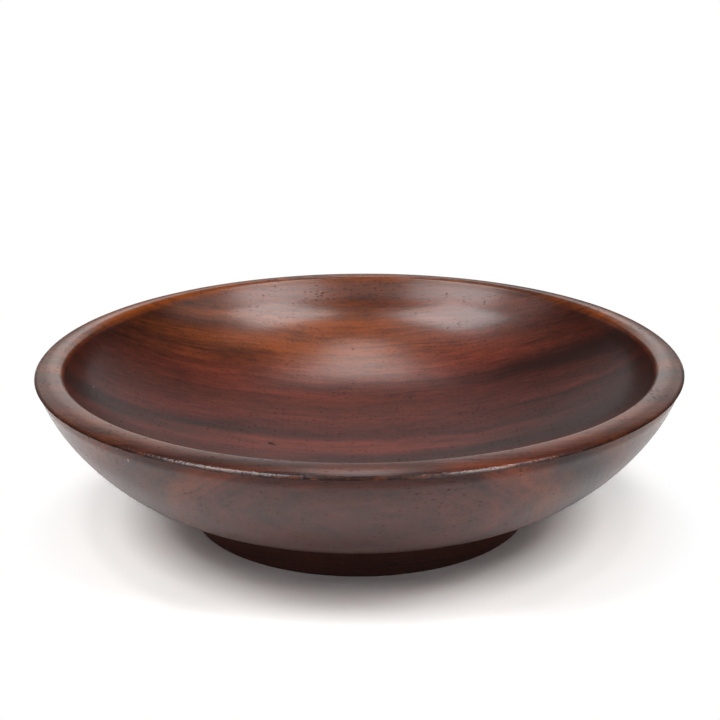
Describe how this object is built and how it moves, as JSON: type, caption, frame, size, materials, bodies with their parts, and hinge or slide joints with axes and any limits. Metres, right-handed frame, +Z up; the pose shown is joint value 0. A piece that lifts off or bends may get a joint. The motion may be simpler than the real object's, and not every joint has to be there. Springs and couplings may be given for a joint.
{
  "type": "wooden fruit bowl",
  "caption": "Wide shallow turned wooden bowl with a heavy outward-sloping rim, standing on a separate turned ring foot glued under it; holds fruit.",
  "frame": {"origin": "centre of the ring on which the foot stands, on the table's surface", "axes": "+Z up along the turning axis; the wood's grain runs along X"},
  "size_m": [0.2812, 0.2812, 0.0726],
  "materials": {
    "bowl_wood": "dark red-brown tropical hardwood with fine open pores and broad darker bands, turned, sanded and wax-polished to a satin gloss",
    "foot_wood": "the same dark hardwood, less polished, its underside turned and bare"
  },
  "bodies": {
    "root": {"bowl_body": "bowl_wood", "foot": "foot_wood"}
  },
  "joints": []
}
